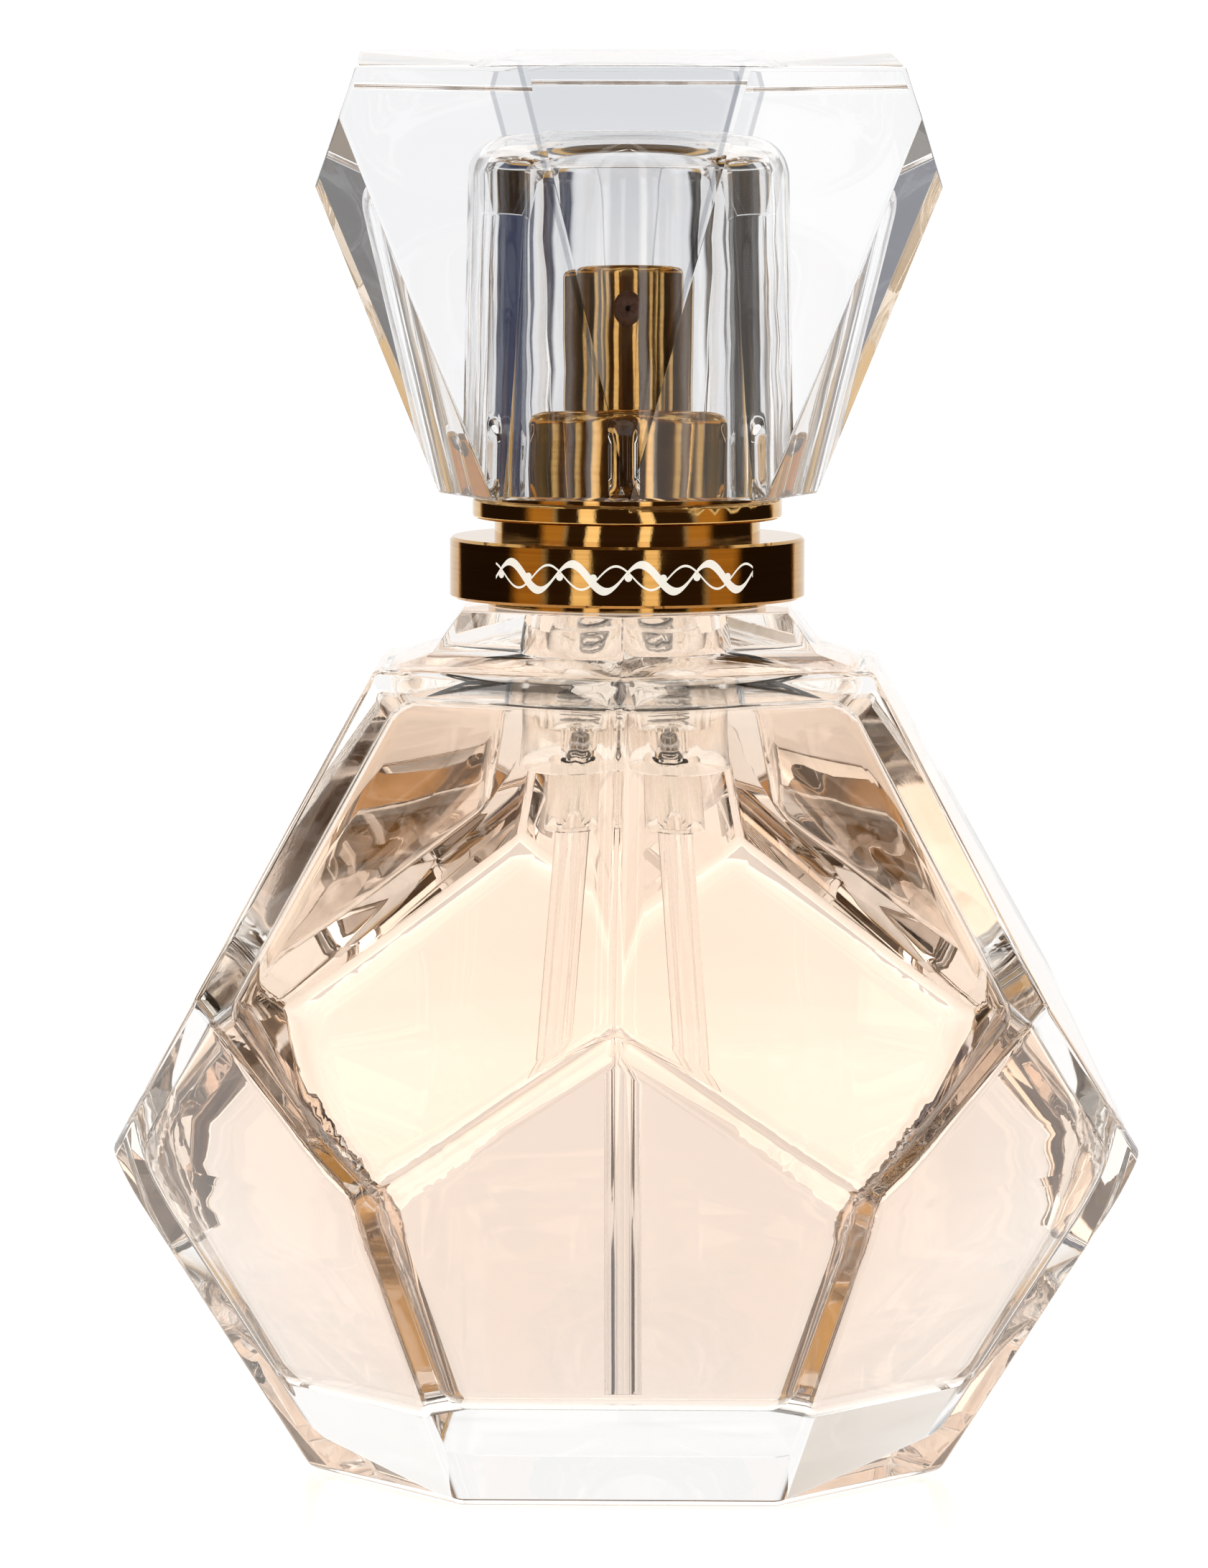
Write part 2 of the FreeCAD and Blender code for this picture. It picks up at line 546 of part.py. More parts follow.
def actuator_core():
    core_bottom = SOCKET_Z
    core = disc(CORE_R, core_bottom, BUTTON_TOP_Z - BUTTON_TOP_WALL - CORE_GAP)
    core = core.cut(disc(STEM_R + SOCKET_FIT, core_bottom - 1, STEM_TOP_Z + SOCKET_FIT))
    core = core.cut(disc(CHANNEL_R, STEM_TOP_Z, NOZZLE_Z + CHANNEL_R))
    core = core.cut(nozzle_bore(NOZZLE_R + NOZZLE_FIT, NOZZLE_DEPTH))
    return core.cut(nozzle_bore(CHANNEL_R, BUTTON_R)).removeSplitter()


def nozzle_insert():
    """A small cup with a fine hole, pressed into the front of the button."""
    start = FreeCAD.Vector(0, -BUTTON_R - NOZZLE_PROUD, NOZZLE_Z)
    inward = FreeCAD.Vector(0, 1, 0)
    plug = Part.makeCylinder(NOZZLE_R, NOZZLE_DEPTH, start, inward)
    swirl = Part.makeCylinder(CHANNEL_R, NOZZLE_DEPTH, start + inward * (NOZZLE_DEPTH / 2), inward)
    dish = Part.makeCone(NOZZLE_R - 2 * ORIFICE_R, ORIFICE_R, NOZZLE_R / 3, start, inward)
    orifice = Part.makeCylinder(ORIFICE_R, NOZZLE_DEPTH, start, inward)
    return plug.cut(swirl).cut(dish).cut(orifice).removeSplitter()


def half_space(point, normal):
    """A very large block on the inner side of a plane."""
    block = Part.makeBox(2 * FAR, 2 * FAR, FAR, FreeCAD.Vector(-FAR, -FAR, -FAR))
    block.Placement = FreeCAD.Placement(point, FreeCAD.Rotation(Z, normal))
    return block


def plane_through(a, b, c, outside):
    """A point and the normal of the plane through three points, facing the given side."""
    normal = (b - a).cross(c - a)
    normal.normalize()
    if normal.dot(outside) < 0:
        normal = -normal
    return a, normal


def on_plane(plane, x, z):
    """The point of a plane that lies at the given x and z."""
    point, normal = plane
    y = point.y - (normal.x * (x - point.x) + normal.z * (z - point.z)) / normal.y
    return FreeCAD.Vector(x, y, z)


def cap_planes():
    """Front half of the cap's planes: the narrow facet, a flank on each side of it, a long
    bevel down each corner, and an upper and a lower facet on each side. The back half is
    the same turned by 180 degrees."""
    front = FreeCAD.Vector(0, -1, 0)
    tip = FreeCAD.Vector(0, -V_BOTTOM_Y, CAP_Z)
    v_mid = FreeCAD.Vector(0, -V_TOP_Y, CAP_TOP_Z)
    v_turn = FreeCAD.Rotation(Z, V_TURN)
    v_side = v_mid + v_turn.multVec(FreeCAD.Vector(1, 0, 0))
    planes = [plane_through(tip, v_mid, v_side, front)]
    for side in (-1, 1):
        inner = FreeCAD.Vector(side * V_TOP_X, -V_TOP_Y, CAP_TOP_Z)
        corner = FreeCAD.Vector(side * CAP_TOP_X, -CORNER_TOP_Y, CAP_TOP_Z)
        flank = plane_through(tip, inner, corner, front)
        bevel = plane_through(on_plane(flank, side * BEVEL_TOP_X, CAP_TOP_Z - BEVEL_TOP_DROP),
                              on_plane(flank, side * BEVEL_LOW_X, CAP_Z),
                              FreeCAD.Vector(side * CAP_BOTTOM_X, -BEVEL_LOW_Y, CAP_Z), front)
        planes.extend([flank, bevel])
    out = FreeCAD.Vector(1, 0, 0)
    deep = FreeCAD.Vector(0, 1, 0)
    ridge = FreeCAD.Vector(CAP_RIDGE_X, 0, CAP_RIDGE_Z)
    for x, z in ((CAP_TOP_X, CAP_TOP_Z), (CAP_BOTTOM_X, CAP_Z)):
        planes.append(plane_through(ridge, FreeCAD.Vector(x, 0, z), ridge + deep, out))
    return planes


def cap_bore(fit):
    """The tapered hollow of the cap with its rounded ceiling, made smaller by the fit."""
    bore = taper(CAP_BORE_BOTTOM_R - fit, CAP_BORE_TOP_R - fit, CAP_Z, BORE_CEILING_Z - fit)
    return rounded(bore, CAP_BORE_ROUND - fit, lambda edge: edge.CenterOfMass.z > CAP_RIDGE_Z)


def cap_body():
    block = disc(FAR / 2, CAP_Z, CAP_TOP_Z)
    turn_about = FreeCAD.Rotation(Z, 180)
    for point, normal in cap_planes():
        block = block.common(half_space(point, normal))
        block = block.common(half_space(turn_about.multVec(point), turn_about.multVec(normal)))
    block = rounded(block.removeSplitter(), CAP_ROUND)
    return block.cut(cap_bore(0)).rotate(FreeCAD.Vector(0, 0, 0), Z, CAP_TURN)


def cap_sleeve():
    sleeve = cap_bore(SLEEVE_FIT)
    hollow = cap_bore(SLEEVE_WALL)
    rib_low = CAP_Z + RIB_RAISE
    ribs = tube(CAP_BORE_TOP_R, COVER_R + RIB_GAP, rib_low, rib_low + RIB_HEIGHT)
    bar = Part.makeBox(FAR, RIB_WIDTH, RIB_HEIGHT, FreeCAD.Vector(0, -RIB_WIDTH / 2, rib_low))
    bars = []
    for k in range(RIB_COUNT):
        copy = bar.copy()
        bars.append(copy.rotate(FreeCAD.Vector(0, 0, 0), Z, 360.0 / RIB_COUNT * (k + 0.5)))
    ribs = ribs.common(bars[0].fuse(bars[1:]))
    return sleeve.cut(hollow).fuse(ribs).removeSplitter()


NODES = [
    bottle_glass, perfume_fill, neck_ring, neck_gasket, mounting_ferrule, ferrule_cover,
    pump_housing, turret, stem_seal, stem, piston, valve_spring, return_spring, check_ball,
    dip_tube, actuator_core, actuator_shell, nozzle_insert, cap_body, cap_sleeve,
]

os.makedirs("parts", exist_ok=True)
for node in NODES:
    shape = node()
    if shape.ShapeType == "Compound" and len(shape.Solids) == 1:
        shape = shape.Solids[0]
    box = shape.BoundBox
    print(f"{node.__name__:18s} valid {shape.isValid()} solids {len(shape.Solids)} "
          f"volume {shape.Volume:9.2f} z {box.ZMin:6.2f}..{box.ZMax:6.2f} "
          f"x {box.XMin:6.2f}..{box.XMax:6.2f} y {box.YMin:6.2f}..{box.YMax:6.2f}")
    shape.exportStep(f"parts/{node.__name__}.step")
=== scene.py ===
import math

import bmesh
import bpy
import numpy as np
from mathutils import Matrix, Vector


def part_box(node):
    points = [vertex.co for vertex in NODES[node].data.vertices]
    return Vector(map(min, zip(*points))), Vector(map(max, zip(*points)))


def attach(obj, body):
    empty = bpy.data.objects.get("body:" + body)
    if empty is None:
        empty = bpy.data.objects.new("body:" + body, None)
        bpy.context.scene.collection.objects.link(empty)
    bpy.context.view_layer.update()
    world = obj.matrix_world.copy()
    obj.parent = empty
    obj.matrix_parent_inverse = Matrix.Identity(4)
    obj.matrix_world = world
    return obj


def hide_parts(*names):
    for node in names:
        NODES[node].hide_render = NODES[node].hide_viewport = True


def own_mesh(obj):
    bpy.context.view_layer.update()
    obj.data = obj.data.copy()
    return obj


# Faceted perfume bottle: materials, optical copies of the clear pieces, studio and camera.
# Metres, Z up, front towards -Y.

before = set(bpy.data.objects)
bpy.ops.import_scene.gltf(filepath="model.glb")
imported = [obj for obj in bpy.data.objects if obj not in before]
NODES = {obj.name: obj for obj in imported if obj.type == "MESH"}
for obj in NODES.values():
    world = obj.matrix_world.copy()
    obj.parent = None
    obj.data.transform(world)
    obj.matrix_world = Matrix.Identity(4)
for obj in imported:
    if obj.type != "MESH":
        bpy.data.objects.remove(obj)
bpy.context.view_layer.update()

MM = 0.001
FUSE = 0.06 * MM            # how far one clear piece is sunk into the next so that light passes
CAP_TURN = math.radians(1.9)
SHARP = math.radians(42)    # edges sharper than this keep a hard line in the shading
WELD_GAP = 0.002 * MM       # points of a CAD mesh that are nearer than this are one point
WHITE_LIGHT = (1.0, 1.0, 1.0)


# --- shader helpers ----------------------------------------------------------------------

def new_material(name):
    """An empty node material, returned with its tree and a Principled shader."""
    material = bpy.data.materials.new(name)
    material.use_nodes = True
    tree = material.node_tree
    tree.nodes.clear()
    out = tree.nodes.new("ShaderNodeOutputMaterial")
    shader = tree.nodes.new("ShaderNodeBsdfPrincipled")
    tree.links.new(shader.outputs["BSDF"], out.inputs["Surface"])
    return material, tree, shader


def place(tree, kind, settings=None, **inputs):
    """A node with some settings and plain input values; an input given as a socket is linked."""
    node = tree.nodes.new(kind)
    for key, value in (settings or {}).items():
        setattr(node, key, value)
    for key, value in inputs.items():
        socket = node.inputs[key.replace("_", " ")]
        if isinstance(value, bpy.types.NodeSocket):
            tree.links.new(value, socket)
        else:
            socket.default_value = value
    return node


def math_node(tree, operation, a, b=None, c=None, clamp=False):
    """One Math node; each operand is a number or a socket."""
    node = tree.nodes.new("ShaderNodeMath")
    node.operation = operation
    node.use_clamp = clamp
    for i, value in enumerate((a, b, c)):
        if isinstance(value, bpy.types.NodeSocket):
            tree.links.new(value, node.inputs[i])
        elif value is not None:
            node.inputs[i].default_value = value
    return node.outputs[0]


def product(tree, first, *others):
    """The product of several sockets."""
    for other in others:
        first = math_node(tree, "MULTIPLY", first, other)
    return first


def between(tree, factor, first, second):
    """A colour mix; each end is a plain colour or a socket."""
    mix = place(tree, "ShaderNodeMix", {"data_type": "RGBA"}, Factor=factor)
    for key, value in (("A", first), ("B", second)):
        if isinstance(value, tuple):
            mix.inputs[key].default_value = (*value, 1.0)
        else:
            tree.links.new(value, mix.inputs[key])
    return mix.outputs["Result"]


def ramp(tree, value, start, end, **ends):
    """A smooth rise from 0 at start to 1 at end, or between the ends given."""
    return place(tree, "ShaderNodeMapRange", {"interpolation_type": "SMOOTHSTEP"}, Value=value,
                 From_Min=start, From_Max=end, **ends).outputs[0]


def band(tree, value, low, high, soft):
    """1 between low and high, with soft edges, and 0 outside."""
    rise = ramp(tree, value, low - soft, low + soft)
    fall = ramp(tree, value, high - soft, high + soft, To_Min=1.0, To_Max=0.0)
    return product(tree, rise, fall)


def object_spot(tree):
    """Object coordinates, in metres."""
    return tree.nodes.new("ShaderNodeTexCoord").outputs["Object"]


def axes_of(tree, vector):
    """The x, y and z sockets of a vector."""
    return place(tree, "ShaderNodeSeparateXYZ", Vector=vector).outputs


def angle_from_front(tree, x, y):
    """The angle about the upright axis, 0 at the front and growing to the right."""
    return math_node(tree, "ARCTAN2", x, math_node(tree, "MULTIPLY", y, -1.0))


def group_with(name, inputs, outputs):
    """An empty shader group with named sockets."""
    group = bpy.data.node_groups.new(name, "ShaderNodeTree")
    for socket_name, kind, value in inputs:
        socket = group.interface.new_socket(socket_name, in_out="INPUT", socket_type=kind)
        socket.default_value = value
    for socket_name, kind in outputs:
        group.interface.new_socket(socket_name, in_out="OUTPUT", socket_type=kind)
    return group, group.nodes.new("NodeGroupInput"), group.nodes.new("NodeGroupOutput")


SMUDGE_SIZE = 190.0
SMUDGE_START = 0.45
SMUDGE_FULL = 0.75


def make_surface_wear():
    """Fine unevenness that every material uses: a slow waviness, a fine grain and small smudges,
    from Object coordinates. Puts out a bump height and a roughness that varies over the surface."""
    group, given, out = group_with(
        "surface_wear",
        [("Wave Size", "NodeSocketFloat", 120.0), ("Grain Size", "NodeSocketFloat", 2500.0),
         ("Grain", "NodeSocketFloat", 0.2), ("Rough Low", "NodeSocketFloat", 0.0),
         ("Rough High", "NodeSocketFloat", 0.02)],
        [("Height", "NodeSocketFloat"), ("Roughness", "NodeSocketFloat")])
    spot = object_spot(group)
    wave = place(group, "ShaderNodeTexNoise", Vector=spot, Scale=given.outputs["Wave Size"],
                 Detail=1.0, Roughness=0.4)
    grain = place(group, "ShaderNodeTexNoise", Vector=spot, Scale=given.outputs["Grain Size"],
                  Detail=2.0, Roughness=0.6)
    smudge = place(group, "ShaderNodeTexNoise", Vector=spot, Scale=SMUDGE_SIZE, Detail=4.0,
                   Roughness=0.65, Distortion=0.6)
    height = math_node(group, "MULTIPLY_ADD", grain.outputs[0], given.outputs["Grain"],
                       wave.outputs[0])
    spread = place(group, "ShaderNodeMapRange", Value=smudge.outputs[0], From_Min=SMUDGE_START,
                   From_Max=SMUDGE_FULL, To_Min=given.outputs["Rough Low"],
                   To_Max=given.outputs["Rough High"])
    group.links.new(height, out.inputs["Height"])
    group.links.new(spread.outputs[0], out.inputs["Roughness"])
    return group


def make_two_tone():
    """Two tones of one colour, mixed by a noise of Object coordinates. The stretch sets how fine
    it is along each axis, so that a high last number gives lines round the upright axis."""
    group, given, out = group_with(
        "two_tone",
        [("Stretch", "NodeSocketVector", (100.0, 100.0, 100.0)),
         ("Detail", "NodeSocketFloat", 3.0),
         ("Colour", "NodeSocketColor", (0.8, 0.8, 0.8, 1.0)),
         ("Shade", "NodeSocketColor", (0.6, 0.6, 0.6, 1.0))],
        [("Colour", "NodeSocketColor"), ("Lines", "NodeSocketFloat")])
    stretched = place(group, "ShaderNodeMapping", Vector=object_spot(group),
                      Scale=given.outputs["Stretch"])
    lines = place(group, "ShaderNodeTexNoise", Vector=stretched.outputs[0], Scale=1.0,
                  Detail=given.outputs["Detail"])
    tone = between(group, lines.outputs[0], given.outputs["Colour"], given.outputs["Shade"])
    group.links.new(tone, out.inputs["Colour"])
    group.links.new(lines.outputs[0], out.inputs["Lines"])
    return group


SURFACE_WEAR = make_surface_wear()
TWO_TONE = make_two_tone()


def wear_on(tree, shader, wave_size, grain_size, grain, rough, bump, distance):
    """Places the wear group, feeds its roughness and its bump to the shader, and returns the
    bumped normal."""
    wear = tree.nodes.new("ShaderNodeGroup")
    wear.node_tree = SURFACE_WEAR
    for key, value in (("Wave Size", wave_size), ("Grain Size", grain_size), ("Grain", grain),
                       ("Rough Low", rough[0]), ("Rough High", rough[1])):
        wear.inputs[key].default_value = value
    tree.links.new(wear.outputs["Roughness"], shader.inputs["Roughness"])
    ridge = place(tree, "ShaderNodeBump", Strength=bump, Distance=distance,
                  Height=wear.outputs["Height"])
    tree.links.new(ridge.outputs["Normal"], shader.inputs["Normal"])
    return ridge.outputs["Normal"]


def two_tone_on(tree, shader, colour, shade, stretch, detail):
    """Places the two-tone group, feeds its colour to the shader, and returns its node."""
    tones = tree.nodes.new("ShaderNodeGroup")
    tones.node_tree = TWO_TONE
    tones.inputs["Stretch"].default_value = stretch
    tones.inputs["Detail"].default_value = detail
    tones.inputs["Colour"].default_value = (*colour, 1.0)
    tones.inputs["Shade"].default_value = (*shade, 1.0)
    tree.links.new(tones.outputs["Colour"], shader.inputs["Base Color"])
    return tones


# --- materials ---------------------------------------------------------------------------

GLASS_IOR = 1.51
RESIN_IOR = 1.49
TUBE_IOR = 1.37             # between the tube's own and the perfume's, so that it hardly shows
PERFUME_IOR = 1.365
PERFUME_SOAK = (0.97, 0.60, 0.30, 1.0)
PERFUME_DENSITY = 11.0

PANE_TOP_HALF = 7.0 * MM    # half width of the cap's narrow facet at its top; a point at its foot
PANE_OUT = 11.4 * MM        # the narrow facets are further than this from the cap's middle
# Painted shade on the cap: each narrow facet is painted greyer from the first height up to the
# second, and its two ground edges get thin painted dark lines of this half width and softness.
PAINTED_SHADE_FROM = 74.0 * MM
PAINTED_SHADE_TO = 90.0 * MM
SHADED_EDGE_HALF = 0.16 * MM
SHADED_EDGE_SOFT = 0.06 * MM
CAP_TINT = (0.965, 0.97, 0.98)
# Colours of the painted shade: the grey at the top of the narrow facets and the dark of their
# painted edge lines.
CAP_PAINTED_SHADE = (0.76, 0.78, 0.81)
CAP_EDGE_SHADE = (0.42, 0.44, 0.48)

GOLD = (0.78, 0.50, 0.19)
GOLD_DEEP = (0.56, 0.31, 0.09)
RING_TONE = (0.70, 0.42, 0.14)
RING_DEEP = (0.40, 0.20, 0.05)
CREAM = (0.93, 0.88, 0.78)
GOLD_GLOSS = (0.05, 0.12)
GOLD_STRETCH = (60.0, 60.0, 4200.0)
METAL_STRETCH = (80.0, 80.0, 3000.0)
MOTTLE_STRETCH = (450.0, 450.0, 450.0)


def clear_shader(name, ior, wave_size, grain_size, rough_high, bump, distance):
    """The start of every clear material: full transmission, slight waviness, faint smudges."""
    material, tree, shader = new_material(name)
    wear_on(tree, shader, wave_size, grain_size, 0.02, (0.0, rough_high), bump, distance)
    shader.inputs["IOR"].default_value = ior
    shader.inputs["Transmission Weight"].default_value = 1.0
    return material, tree, shader


def clear_material(name, ior, tint, rough_high, bump):
    """Polished clear glass or resin with a faint tint of its own."""
    material, tree, shader = clear_shader(name, ior, 70.0, 1500.0, rough_high, bump, 0.4 * MM)
    shader.inputs["Base Color"].default_value = (*tint, 1.0)
    return material


def cap_resin_material():
    """Clear resin with a cool tint. The narrow facet on each broad side has painted shade at its
    top that fades downwards, and its two long ground edges carry thin lines of painted shade."""
    material, tree, shader = clear_shader("cap_resin", RESIN_IOR, 70.0, 1500.0, 0.006, 0.03,
                                          0.4 * MM)
    low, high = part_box("cap_body")
    square = place(tree, "ShaderNodeMapping", {"vector_type": "TEXTURE"},
                   Vector=object_spot(tree), Rotation=(0.0, 0.0, CAP_TURN))
    x, y, z = axes_of(tree, square.outputs[0])
    reach = place(tree, "ShaderNodeMapRange", {"clamp": False}, Value=z, From_Min=low.z,
                  From_Max=high.z, To_Min=0.0, To_Max=PANE_TOP_HALF)
    off_edge = math_node(tree, "SUBTRACT", math_node(tree, "ABSOLUTE", x), reach.outputs[0])
    outside = math_node(tree, "GREATER_THAN", math_node(tree, "ABSOLUTE", y), PANE_OUT)
    in_pane = math_node(tree, "LESS_THAN", off_edge, 0.0)
    # Painted shade: the narrow facet is painted greyer towards its top, and thin dark lines are
    # painted along its two ground edges.
    painted_shade = product(tree, in_pane, outside, ramp(tree, z, PAINTED_SHADE_FROM, PAINTED_SHADE_TO))
    shaded_edge = product(tree, band(tree, off_edge, -SHADED_EDGE_HALF, SHADED_EDGE_HALF, SHADED_EDGE_SOFT), outside)
    tone = between(tree, painted_shade, CAP_TINT, CAP_PAINTED_SHADE)
    shaded_tone = between(tree, shaded_edge, tone, CAP_EDGE_SHADE)
    tree.links.new(shaded_tone, shader.inputs["Base Color"])
    return material


def perfume_material():
    """Pale peach liquid: clear surface, colour from absorption over the depth of the bottle."""
    material, tree, shader = clear_shader("peach_perfume", PERFUME_IOR, 60.0, 900.0, 0.004, 0.05,
                                          0.2 * MM)
    shader.inputs["Base Color"].default_value = (*WHITE_LIGHT, 1.0)
    soak = tree.nodes.new("ShaderNodeVolumeAbsorption")
    soak.inputs["Color"].default_value = PERFUME_SOAK
    soak.inputs["Density"].default_value = PERFUME_DENSITY
    tree.links.new(soak.outputs["Volume"], tree.get_output_node("ALL").inputs["Volume"])
    return material


def gold_material(name, colour, shade):
    """Polished gold plate: turning marks round the axis, smudges and a deeper tone in patches.
    Returned with its tree, its shader and its two-tone node."""
    material, tree, shader = new_material(name)
    normal = wear_on(tree, shader, 160.0, 3000.0, 0.25, GOLD_GLOSS, 0.08, 0.12 * MM)
    tones = two_tone_on(tree, shader, colour, shade, GOLD_STRETCH, 3.0)
    turned = place(tree, "ShaderNodeBump", Strength=0.05, Distance=0.05 * MM,
                   Height=tones.outputs["Lines"], Normal=normal)
    tree.links.new(turned.outputs["Normal"], shader.inputs["Normal"])
    shader.inputs["Metallic"].default_value = 1.0
    return material, tree, shader, tones


def plastic_material(name, colour, shade, rough, clear=0.0, ior=RESIN_IOR):
    """Moulded plastic: faint mottling, fine grain and slightly uneven gloss."""
    material, tree, shader = new_material(name)
    wear_on(tree, shader, 300.0, 6000.0, 0.5, rough, 0.1, 0.08 * MM)
    two_tone_on(tree, shader, colour, shade, MOTTLE_STRETCH, 3.0)
    shader.inputs["IOR"].default_value = ior
    shader.inputs["Transmission Weight"].default_value = clear
    return material


def metal_material(name, colour, shade, rough):
    """Drawn or pressed grey metal with long fine lines."""
    material, tree, shader = new_material(name)
    wear_on(tree, shader, 400.0, 5000.0, 0.6, rough, 0.12, 0.08 * MM)
    two_tone_on(tree, shader, colour, shade, METAL_STRETCH, 4.0)
    shader.inputs["Metallic"].default_value = 1.0
    return material


SCROLL_WAVES = 16.0         # waves in a full turn of the ring
SCROLL_RISE = 0.22          # the scroll's middle above the ring's, in mm
SCROLL_HALF_ANGLE = 0.80    # the scroll runs this far to each side of the front, in radians
STROKE_SWING = 0.85         # heights and widths of the scroll are in mm
STROKE_HALF = 0.24
STROKE_THINNING = -0.13
FINE_SWING = 0.75
FINE_HALF = 0.075
FINE_LAG = 2.2
DOT_LAG = 1.1
DOT_SQUEEZE = 0.7
DOT_SIZE = 0.05
BAND_DEPTH = 0.1 * MM       # only the ring's outermost skin carries the scroll


def ring_material():
    """The gold of the neck ring, deeper on its band, with a cream scroll round it. The stroke is
    a sine of the angle, thick where it falls and thin where it rises. A second fine sine lags
    behind it, and a dot stands in each wave."""
    material, tree, shader, tones = gold_material("ring_gold", RING_TONE, RING_DEEP)
    low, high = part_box("neck_ring")
    x, y, z = axes_of(tree, object_spot(tree))
    angle = angle_from_front(tree, x, y)
    middle = (low.z + high.z) / 2 + SCROLL_RISE * MM
    height = math_node(tree, "DIVIDE", math_node(tree, "SUBTRACT", z, middle), MM)
    phase = math_node(tree, "MULTIPLY", angle, SCROLL_WAVES)

    def lagging(function, lag):
        return math_node(tree, function, math_node(tree, "ADD", phase, lag))

    wave = math_node(tree, "MULTIPLY", math_node(tree, "SINE", phase), STROKE_SWING)
    slope = math_node(tree, "COSINE", phase)
    thick = math_node(tree, "MULTIPLY_ADD", slope, STROKE_THINNING, STROKE_HALF)
    stroke = math_node(tree, "ABSOLUTE", math_node(tree, "SUBTRACT", height, wave))
    on_stroke = math_node(tree, "LESS_THAN", stroke, thick)
    fine = math_node(tree, "MULTIPLY_ADD", lagging("SINE", FINE_LAG), -FINE_SWING, height)
    on_fine = math_node(tree, "LESS_THAN", math_node(tree, "ABSOLUTE", fine), FINE_HALF)
    along = math_node(tree, "MULTIPLY", lagging("COSINE", DOT_LAG), DOT_SQUEEZE)
    dot = math_node(tree, "ADD", math_node(tree, "POWER", along, 2.0),
                    math_node(tree, "POWER", height, 2.0))
    on_dot = math_node(tree, "LESS_THAN", dot, DOT_SIZE)
    scroll = math_node(tree, "MAXIMUM", on_stroke, math_node(tree, "MAXIMUM", on_fine, on_dot))
    radius = math_node(tree, "SQRT", math_node(tree, "MULTIPLY_ADD", x, x,
                                               math_node(tree, "MULTIPLY", y, y)))
    on_band = math_node(tree, "GREATER_THAN", radius, high.x - BAND_DEPTH)
    front = math_node(tree, "LESS_THAN", math_node(tree, "ABSOLUTE", angle), SCROLL_HALF_ANGLE)
    scroll = product(tree, scroll, on_band, front)
    mixed = between(tree, scroll, tones.outputs["Colour"], CREAM)
    tree.links.new(mixed, shader.inputs["Base Color"])
    tree.links.new(math_node(tree, "SUBTRACT", 1.0, scroll), shader.inputs["Metallic"])
    return material


BOTTLE_GLASS = clear_material("bottle_glass", GLASS_IOR, (0.995, 0.995, 0.99), 0.004, 0.02)
CAP_RESIN = cap_resin_material()
LINER = clear_material("cap_liner", RESIN_IOR, (0.99, 0.99, 0.99), 0.01, 0.02)
DIP_TUBE = clear_material("tube_plastic", TUBE_IOR, (0.99, 0.99, 0.99), 0.01, 0.02)
PERFUME = perfume_material()
GOLD_PLATE = gold_material("gold_plate", GOLD, GOLD_DEEP)[0]
RING_GOLD = ring_material()
RUBBER = plastic_material("white_gasket", (0.95, 0.94, 0.92), (0.90, 0.89, 0.87), (0.3, 0.45),
                          clear=0.8)
ALUMINIUM = metal_material("pressed_aluminium", (0.86, 0.86, 0.87), (0.74, 0.74, 0.76),
                           (0.22, 0.34))
STEEL = metal_material("drawn_steel", (0.66, 0.67, 0.69), (0.5, 0.5, 0.52), (0.18, 0.3))
NATURAL = plastic_material("natural_plastic", (0.99, 0.99, 0.98), (0.96, 0.96, 0.94),
                           (0.02, 0.07), clear=1.0, ior=1.42)
WHITE = plastic_material("white_plastic", (0.90, 0.90, 0.88), (0.85, 0.85, 0.83), (0.2, 0.35))
NOZZLE = plastic_material("brown_plastic", (0.30, 0.13, 0.07), (0.22, 0.09, 0.05), (0.25, 0.4))

FINISHES = {
    "bottle_glass": BOTTLE_GLASS, "neck_ring": RING_GOLD, "ferrule_cover": GOLD_PLATE,
    "actuator_shell": GOLD_PLATE, "cap_body": CAP_RESIN, "neck_gasket": RUBBER,
    "stem_seal": RUBBER, "mounting_ferrule": ALUMINIUM, "pump_housing": NATURAL,
    "turret": NATURAL, "piston": NATURAL, "stem": WHITE, "actuator_core": WHITE,
    "nozzle_insert": NOZZLE, "check_ball": STEEL, "dip_tube": DIP_TUBE,
}


def smooth_faces(mesh):
    """Marks every face of a mesh as smooth."""
    mesh.polygons.foreach_set("use_smooth", np.ones(len(mesh.polygons), bool))


def hard_rims(piece):
    """Splits a piece's sharp edges, so that its shading keeps a hard line there."""
    rims = piece.modifiers.new("rims", "EDGE_SPLIT")
    rims.split_angle = SHARP
    rims.use_edge_sharp = False


def merge_points(piece):
    """Joins the loose triangles of a CAD mesh at their shared points."""
    piece.modifiers.new("weld", "WELD").merge_threshold = WELD_GAP


def level_flats(piece):
    """Lets the large flat faces of a piece set its shading."""
    piece.modifiers.new("flats", "WEIGHTED_NORMAL").weight = 100


def finish_piece(piece, finish):
    """Gives a CAD piece its material, smooth over its rounded edges, flat on its flats and hard
    at its rims."""
    piece.data.materials.clear()
    piece.data.materials.append(finish)
    smooth_faces(piece.data)
    merge_points(piece)
    hard_rims(piece)
    level_flats(piece)


for node_name, node_finish in FINISHES.items():
    finish_piece(NODES[node_name], node_finish)


# --- copies that stand for CAD pieces ------------------------------------------------------

def stand_in(piece, body, node):
    """Makes a piece ride on a body in the place of a CAD node."""
    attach(piece, body)
    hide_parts(node)


def loose_copy(name, node):
    """A copy of a CAD piece with nothing of its frame on it."""
    piece = NODES[node].copy()
    piece.data = NODES[node].data.copy()
    piece.name = piece.data.name = name
    for key in [key for key in piece.keys() if key.startswith("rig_")]:
        del piece[key]
    piece.parent = None
    piece.modifiers.clear()
    bpy.context.scene.collection.objects.link(piece)
    return piece


